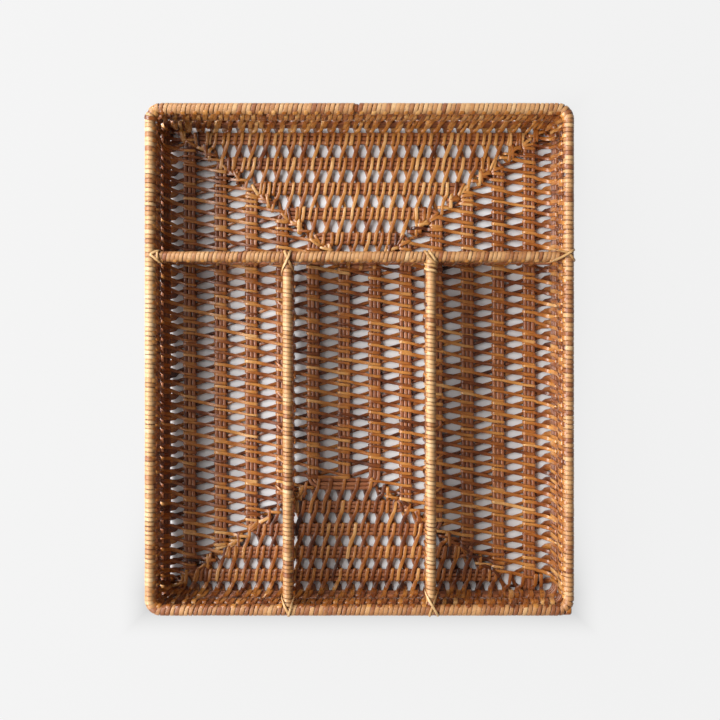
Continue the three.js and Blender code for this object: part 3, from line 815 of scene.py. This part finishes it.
# Floor: one chain that spirals out with the coil, from each turn to the next, and ends short of its end
SPANS = [COLUMN_PITCH, BACK_PITCH, COLUMN_PITCH, FRONT_PITCH]
STRETCHES = 19
sides = [k % 4 for k in range(STRETCHES)]
gaps = [k // 4 + 1 for k in range(STRETCHES)]
spans = [SPANS[side] for side in sides]
coil_inner, coil_outer = COIL[:STRETCHES + 1].copy(), COIL[4:STRETCHES + 5].copy()
coil_inner[-1, 1] = -front_row(5) + LAST_INSET
coil_outer[-1] = (column(6), -WALL_Y + WEAVE_INSET)
floor_chain = Chain(coil_inner, coil_outer, sides, gaps, spans, LOOP_HALF, LOOP_HALF, COIL_RADIUS,
                    open_ends=(-1,))
weave("weave_floor", floor_chain, flat_turn(), [f"floor_cane_{n}" for n in range(1, 6)])

# Seam between the two innermost columns
seam_edges = [[(x, CROSS_Y), (x, COIL_START)] for x in (-column(1), column(1))]
seam = Chain(*seam_edges, [RIGHT], [0], [COLUMN_PITCH], LOOP_HALF, LOOP_HALF,
             start=-CROSS_Y + WEAVE_INSET, end=-COIL_START + 1.0)
weave("weave_seam", seam, flat_turn(), ["floor_cane_seam"])

# Foot of the walls: from the outermost bundle of the floor to the lowest course
ring = [FRONT, LEFT, BACK, RIGHT]
foot_inner = [(column(5) - 3.0, -front_row(5)), (-column(6), -front_row(5)), (-column(6), back_row(6)),
              (column(6), back_row(6)), (column(6), -WALL_Y)]
foot_spans = [WALL_Y - front_row(5), WALL_X - column(6), WALL_Y - back_row(6), WALL_X - column(6)]
foot_outer = WALL.copy()
foot_outer[0, 0] = column(6) + 10.0
foot = Chain(foot_inner, foot_outer, ring, [5, 6, 6, 6], foot_spans, LOOP_HALF, LOOP_RADIUS, WALL_RADIUS,
             end=WALL_Y - LAST_INSET, open_ends=(0,))
weave("weave_foot", foot, foot_turn(), [f"foot_cane_{n}" for n in SIDE_NAMES], flare=1.1, lean_power=3)

# Walls: between the two courses, and from the upper one to the rim
for level, gap, turn in (
    ("lower", 6, upright_turn(BASE_Z, ROD_PITCH, MIDDLE_Z, LOOP_RADIUS)),
    ("upper", 7, upright_turn(MIDDLE_Z, ROD_PITCH, RIM_Z, RIM_LOOP, shift=RIM_SHIFT)),
):
    gaps = [gap, gap + 1, gap + 1, gap + 1]
    chain = Chain(WALL, WALL, ring, gaps, [0.0] * 4, radius=WALL_RADIUS, scale=0.8, extra=0)
    weave(f"weave_wall_{level}", chain, turn, [f"wall_cane_{level}"], width=1.3, lean_power=0)

# Dividers: from the foot rod to the middle rods, and from these to the rail
for name, (side, x0, y0, x1, y1) in DIVIDERS.items():
    ends = np.array([(x0, y0), (x1, y1)])
    first, last = ends @ TRAVEL[side]
    for level, gap, turn in (
        ("lower", 0.3, upright_turn(FOOT_Z, SINGLE_ROD, MIDDLE_Z, LOOP_RADIUS)),
        ("upper", 1.1, upright_turn(MIDDLE_Z, ROD_PITCH, RIM_Z, RAIL_LOOP)),
    ):
        chain = Chain(ends, ends, [side], [gap], [0.0], start=first + WEAVE_INSET, end=last - WEAVE_INSET)
        weave(f"weave_{name}_{level}", chain, turn, [f"{name}_divider_{level}_cane"])

# Wrapped rim and rails

CORE_TONE = 0.3
STEPS_PER_TURN = 16
TURNS_PER_RUN = 40
SLACK_SPREAD, SWELL_SPREAD, BAND_SPREAD = 0.10, 0.06, 0.10
RUN_TONES, TURN_SPREAD = (0.42, 0.66), 0.11
DARK_SHARE, DARKER = 0.12, 0.34


def wrapping(skin, path, outs, radius, pitch, painted_light, least_lean):
    """A flat strip wound round a core, edge to edge, leaning more on top than underneath."""
    steps = np.linalg.norm(np.diff(path, axis=0), axis=1)
    way = np.concatenate([[0], np.cumsum(steps)])
    turns = int(way[-1] / pitch)
    knots = np.arange(turns + 2)
    w = np.arange(turns * STEPS_PER_TURN + 1) / STEPS_PER_TURN
    part = w % 1.0

    # a turn starts at the inner side, goes over the top in its first half and underneath in the second
    along_x = np.abs(np.interp(np.floor(w) * pitch, way, outs[:, 1]))
    top_share = np.maximum(0.25 + 0.5 * np.clip(along_x, 0, 1), least_lean)
    advance = np.where(part < 0.5, part * 2 * top_share, top_share + (part - 0.5) * 2 * (1 - top_share))
    slack = np.interp(w, knots, rng.normal(0, SLACK_SPREAD, turns + 2))
    s = np.clip((np.floor(w) + advance) * pitch + slack, 0, way[-1])
    centre = np.stack([np.interp(s, way, path[:, i]) for i in range(3)], 1)
    out = unit(np.stack([np.interp(s, way, outs[:, i]) for i in range(2)], 1))
    angle = math.pi - 2 * math.pi * part
    radial = np.concatenate([out * np.cos(angle)[:, None], np.sin(angle)[:, None]], 1)
    swell = np.interp(w, knots, rng.normal(0, SWELL_SPREAD, turns + 2))
    width = np.interp(w, knots, np.clip(rng.normal(1.0, BAND_SPREAD, turns + 2), 0.75, 1.15))

    # tone: by run of turns, with the painted light and shade of each side or rail, by turn, and now and then
    # a dark one
    tone = rng.uniform(*RUN_TONES, turns // TURNS_PER_RUN + 2)
    tone = np.repeat(tone, TURNS_PER_RUN)[: turns + 2]
    tone = tone + np.interp(knots * pitch, way, np.broadcast_to(painted_light, len(way)))
    is_dark = rng.random(turns + 2) < DARK_SHARE
    tone = np.clip(tone + rng.normal(0, TURN_SPREAD, turns + 2) - DARKER * is_dark, 0, 1)
    skin.sweep(centre + radial * (radius + swell)[:, None], radial, WRAP, width=width * pitch / RIM_PITCH,
               tone=np.repeat(tone, STEPS_PER_TURN)[: len(w)])


def wrapped(name, path, outs, core, core_node, wrap_nodes, pitch, painted_light, least_lean):
    """A core rod and the strip that is wound round it."""
    skin = Skin()
    skin.sweep(path, UP, round_section(core), tone=CORE_TONE)
    skin.make(name[0], RODS, [core_node])
    skin = Skin()
    wrapping(skin, path, outs, core + WRAP_THICK / 2, pitch, painted_light, least_lean)
    skin.make(name[1], WRAPS, wrap_nodes)


rim_path = rounded_path(shifted_corners(HOOP, RIM_SHIFT), WALL_RADIUS + RIM_SHIFT, RIM_Z,
                        spacing=2.0, steps=12)
rim_out = turned_left(unit(np.gradient(rim_path[:, :2], axis=0)))
# painted light and shade: each side of the rim is made paler or darker by how the light falls on it
rim_painted_light = np.maximum(rim_out @ OUTWARD.T, 0) @ RIM_PAINTED_LIGHT
wrapped(("rim_rod", "rim_wrapping"), rim_path, rim_out, RIM_CORE, "rim_core",
        [f"rim_wrap_{n}" for n in SIDE_NAMES], RIM_PITCH, rim_painted_light, least_lean=0.25)

for name, (side, *_) in DIVIDERS.items():
    path = divider_path(name, RAIL_INSET, RIM_Z, spacing=1.0)
    outs = np.broadcast_to(OUTWARD[side], (len(path), 2))
    wrapped((f"{name}_rail", f"{name}_rail_wrapping"), path, outs, RAIL_CORE, f"{name}_divider_rail_core",
            [f"{name}_divider_rail_wrap"], RAIL_PITCH, RAIL_PAINTED_LIGHT[name], least_lean=0.45)

# Lashings and ties

# Lashings: where each joint lies, which way the rail leaves it, its node, and its strands as offsets from it
JOINTS = {
    "west": (-WALL_X - RIM_SHIFT, CROSS_Y, (1, 0), "left_rim", [
        [(7.4, -4.3, -3.4), (7.0, -4.8, 0.0), (6.6, -2.6, 4.2), (6.3, 0.6, 4.8), (6.2, 3.8, 3.2),
         (6.0, 4.9, 0.0), (5.4, 4.2, -3.2)],
        [(7.8, 5.0, -0.6), (6.2, 4.4, 2.6), (3.9, 3.0, 4.4), (1.9, 1.7, 4.9), (1.2, 1.0, 4.8),
         (1.8, 0.4, 5.1), (4.0, -1.3, 5.2), (6.6, -3.6, 4.0), (8.2, -4.8, 0.6), (8.8, -4.4, -2.4)],
    ]),
    "east": (WALL_X + RIM_SHIFT, CROSS_Y, (-1, 0), "right_rim", [
        [(-14.6, 3.9, -2.6), (-13.6, 4.7, 0.4), (-10.0, 4.4, 2.6), (-6.0, 3.6, 3.9), (-2.5, 2.7, 4.7),
         (0.5, 0.6, 4.9), (2.6, -2.0, 4.2), (4.2, -3.4, 1.4), (4.3, -4.0, -1.4)],
        [(-16.0, -4.0, -2.4), (-14.7, -4.6, 0.4), (-11.0, -3.2, 3.4), (-6.3, -1.0, 4.9), (-2.2, 1.3, 5.4),
         (1.3, 3.4, 5.0), (3.5, 4.8, 3.2), (4.4, 5.4, 0.4)],
    ]),
    "crossing_west": (-LONG_X, CROSS_Y, (0, -1), "left_crossing", [
        [(-3.0, 4.4, -1.4), (-2.8, 4.3, 1.4), (-1.9, 2.6, 4.0), (-0.6, -0.4, 4.7), (0.9, -3.6, 4.7),
         (2.6, -6.8, 4.1), (4.1, -10.0, 2.2), (4.7, -12.6, -0.6), (3.6, -13.8, -3.4)],
        [(2.6, 4.4, -1.4), (2.4, 4.3, 1.4), (1.7, 2.4, 4.4), (0.9, -0.6, 5.4), (-0.6, -3.8, 5.4),
         (-2.4, -7.0, 4.4), (-4.0, -10.2, 2.2), (-4.7, -13.0, -0.6), (-3.6, -14.4, -3.4)],
    ]),
    "crossing_east": (LONG_X, CROSS_Y, (0, -1), "right_crossing", [
        [(-5.4, 4.2, -1.6), (-5.0, 4.4, 1.2), (-3.8, 2.2, 4.2), (-2.0, -0.8, 4.8), (0.6, -3.8, 4.9),
         (3.2, -5.6, 4.0), (4.8, -6.6, 1.0), (4.4, -7.4, -2.4)],
        [(-2.4, 4.2, -1.6), (-1.9, 4.4, 1.2), (-0.8, 2.4, 4.2), (1.2, -0.6, 5.0), (3.0, -3.2, 4.4),
         (4.8, -5.0, 1.6), (5.2, -5.4, -1.8)],
        [(-4.3, -5.2, -2.6), (-5.0, -5.8, 0.4), (-3.4, -6.6, 4.2), (0.0, -7.1, 5.2), (3.4, -7.9, 4.0),
         (4.8, -8.6, 0.6), (4.0, -9.2, -2.8)],
        [(-4.0, -8.6, -2.8), (-4.9, -9.2, 0.4), (-3.2, -10.2, 3.7), (0.0, -10.7, 4.6), (3.2, -11.4, 3.7),
         (4.7, -12.2, 0.4), (3.8, -12.6, -2.8)],
    ]),
    "front_west": (-LONG_X, -WALL_Y - RIM_SHIFT, (0, 1), "left_front", [
        [(-3.6, 12.4, -3.2), (-4.6, 11.0, -0.4), (-4.4, 9.2, 1.6), (-2.9, 5.6, 3.8), (-1.0, 2.0, 4.7),
         (0.5, -1.0, 4.7), (1.2, -2.9, 3.6), (1.4, -4.0, 1.2)],
        [(3.6, 11.6, -3.2), (4.7, 10.2, -0.4), (4.5, 8.4, 1.6), (3.4, 5.2, 3.8), (2.3, 1.8, 5.1),
         (1.4, -1.1, 5.3), (0.8, -3.0, 4.0), (0.6, -4.1, 1.4)],
    ]),
    "front_east": (LONG_X, -WALL_Y - RIM_SHIFT, (0, 1), "right_front", [
        [(3.6, 15.0, -3.2), (4.6, 13.8, -0.4), (4.2, 11.8, 1.8), (2.6, 7.8, 4.0), (0.9, 3.8, 4.6),
         (-0.6, 0.2, 4.6), (-1.3, -2.7, 3.5), (-1.5, -4.0, 0.8)],
        [(-3.6, 16.0, -3.2), (-4.6, 14.8, -0.4), (-3.9, 12.6, 2.2), (-1.6, 8.4, 4.7), (1.4, 3.6, 5.4),
         (3.7, -0.6, 5.2), (4.9, -3.0, 3.4), (5.3, -4.2, 0.6)],
    ]),
}
RIM_SURFACE = RIM_CORE + WRAP_THICK + 0.45
RAIL_SURFACE = RAIL_CORE + WRAP_THICK + 0.45


def lashed(points, leave):
    """Lays a strand on the two round rods that meet at a joint; returns the path and the way it faces."""
    path = smooth_curve(points, 10 * len(points))
    is_beside_rail = path[:, 0] * leave[0] + path[:, 1] * leave[1] > 0
    across_rail = 1 if leave[0] else 0
    rods = ((across_rail, RAIL_SURFACE, is_beside_rail), (1 - across_rail, RIM_SURFACE, True))
    for axis, surface, is_held in rods:
        reach = np.hypot(path[:, axis], path[:, 2])
        push = np.where(is_held & (reach < surface), surface / reach, 1.0)
        path[:, axis] *= push
        path[:, 2] *= push
    face = np.zeros_like(path)
    for axis, surface, _ in rods:
        reach = np.hypot(path[:, axis], path[:, 2])
        weight = np.exp(-np.clip(reach - surface, 0, 8) / 0.8) / reach
        face[:, axis] += path[:, axis] * weight
        face[:, 2] += path[:, 2] * weight
    return path, unit(face)


for name, (x, y, leave, node, strands) in JOINTS.items():
    skin = Skin()
    for i, points in enumerate(strands):
        path, face = lashed(points, leave)
        tone = 0.45 + 0.3 * (i % 2)
        skin.sweep(path + (x, y, RIM_Z), face, STRAND, width=0.66, thick=0.8, tone=tone)
    skin.make("lashing_" + name, LASHES, ["lashing_" + node])

# Ties: a turn round a long divider's foot rod and the third column, as (distance from the middle of the tray,
# height, share of the pitch) and the way that the flat side faces
TIE_PITCH = 25.0
TIE_INSIDE, TIE_BUNDLE, TIE_BEYOND = LONG_X - 2.6, column(3), column(3) + LOOP_HALF
TIE_TURN = [
    ((TIE_INSIDE, 6.0, 0.0), (-1, 0.2)),
    ((TIE_INSIDE + 0.3, 9.4, 0.04), (-0.8, 0.6)),
    ((LONG_X + 0.4, 10.7, 0.09), (0.2, 1)),
    ((LONG_X + 3.4, 8.6, 0.17), (0.6, 0.8)),
    ((TIE_BUNDLE - 1.5, 5.9, 0.27), (0.4, 0.9)),
    ((TIE_BUNDLE + 2.6, 5.3, 0.38), (0.3, 1)),
    ((TIE_BEYOND + 0.3, 3.4, 0.46), (1, 0.2)),
    ((TIE_BEYOND - 0.4, 1.2, 0.5), (0.8, -0.6)),
    ((TIE_BUNDLE + 1.0, 0.5, 0.6), (0, -1)),
    ((TIE_BUNDLE - 4.0, 0.5, 0.72), (0, -1)),
    ((LONG_X, 1.2, 0.86), (-0.4, -0.9)),
    ((TIE_INSIDE, 3.2, 0.94), (-1, -0.2)),
]
TIE_START, TIE_STOP = -front_row(2) + 6.0, CROSS_Y - 12.0

for name, mirror in (("left", -1), ("right", 1)):
    rows = []
    for i in range(int((TIE_STOP - TIE_START) / TIE_PITCH)):
        shift = rng.normal(0, 0.05)
        for (q, z, w), (fq, fz) in TIE_TURN:
            rows.append((mirror * q, TIE_START + TIE_PITCH * (i + w + shift), z, mirror * fq, 0.0, fz))
    path = smooth_curve(rows, len(rows) * 5)
    skin = Skin()
    skin.sweep(path[:, :3], path[:, 3:], STRAND, width=0.72, thick=0.9, tone=0.55)
    skin.make(f"tie_{name}", WEAVE, [f"tie_cane_{name}"])

# Stage, light and camera

TABLE_HALF = 4.0
PAPER = (0.86, 0.86, 0.865, 1)
UNLIT = (0.02, 0.02, 0.02, 1)
PAPER_HALF_X = 0.1605  # the part of the table under the tray, which doesn't glow
PAPER_HALF_Y = 0.1925
GLOW_FROM, GLOW_TO = 0.006, 0.012
GLOW = 0.856
# painted shadow: how far out from the tray it reaches, how closely it keeps to the front and right, and how
# deep it is there
PAINTED_SHADOW_REACH = 0.040
PAINTED_SHADOW_POWER = 5.0
FRONT_PAINTED_SHADOW = 0.48
RIGHT_PAINTED_SHADOW = 0.07


def paper():
    """White paper that glows softly all round the tray, with a painted shadow just in front and to its right,
    where the glow is a little less.
    """
    nodes = Nodes("table_paper")
    shader = nodes.shader
    times, plus, minus, power, greater, absolute = nodes.operations()
    shader.inputs["Roughness"].default_value = 0.9
    shader.inputs["Specular IOR Level"].default_value = 0.2
    shader.inputs["Emission Color"].default_value = (1, 1, 1, 1)
    x, y, _ = nodes.parts(nodes.add("ShaderNodeNewGeometry").outputs["Position"])

    def ramp(value, low, high):
        node = nodes.add("ShaderNodeMapRange")
        node.inputs["From Min"].default_value = low
        node.inputs["From Max"].default_value = high
        nodes.put(value, node.inputs["Value"])
        return node.outputs[0]

    beyond = greater(minus(absolute(x), PAPER_HALF_X), minus(absolute(y), PAPER_HALF_Y))
    outside = ramp(beyond, GLOW_FROM, GLOW_TO)
    near = ramp(beyond, PAINTED_SHADOW_REACH, GLOW_FROM)
    # painted shadow: the glow is dimmed near the tray's front and right edges
    in_front = power(times(y, -1 / PAPER_HALF_Y), PAINTED_SHADOW_POWER, clamp=True)
    to_right = power(times(x, 1 / PAPER_HALF_X), PAINTED_SHADOW_POWER, clamp=True)
    shade = plus(times(in_front, FRONT_PAINTED_SHADOW), times(to_right, RIGHT_PAINTED_SHADOW))
    light = minus(GLOW, times(times(shade, near), times(near, GLOW)))
    nodes.put(nodes.mix(outside, "MIX", PAPER, UNLIT), shader.inputs["Base Color"])
    nodes.put(times(outside, light), shader.inputs["Emission Strength"])
    return nodes.material


mesh = bpy.data.meshes.new("table")
corners = [(x * TABLE_HALF, y * TABLE_HALF, 0) for x, y in ((-1, -1), (1, -1), (1, 1), (-1, 1))]
mesh.from_pydata(corners, [], [(0, 1, 2, 3)])
mesh.materials.append(paper())
table = new_object("table", mesh)

scene = bpy.context.scene
world = bpy.data.worlds.new("studio")
scene.world = world
world.use_nodes = True
background = world.node_tree.nodes["Background"]
background.inputs["Color"].default_value = (1.0, 0.99, 0.98, 1)
background.inputs["Strength"].default_value = 0.13

# One long soft light, low at the left
key = bpy.data.lights.new("key", "AREA")
key.shape = "RECTANGLE"
key.size = 4.0
key.size_y = 1.17
key.energy = 96.0
key_object = new_object("key", key)
key_object.location = (-1.22, 0.24, 1.03)
key_object.rotation_euler = (-key_object.location).to_track_quat("-Z", "Y").to_euler()

# The camera looks straight down, nearly over the middle
camera = bpy.data.cameras.new("camera")
camera.sensor_width = 36
camera.lens = 44.25
camera.clip_start = 0.01
camera_object = new_object("camera", camera)
camera_object.location = (0.00046, -0.0005, 0.7322)
scene.camera = camera_object
scene.view_settings.view_transform = "Standard"
scene.view_settings.look = "None"
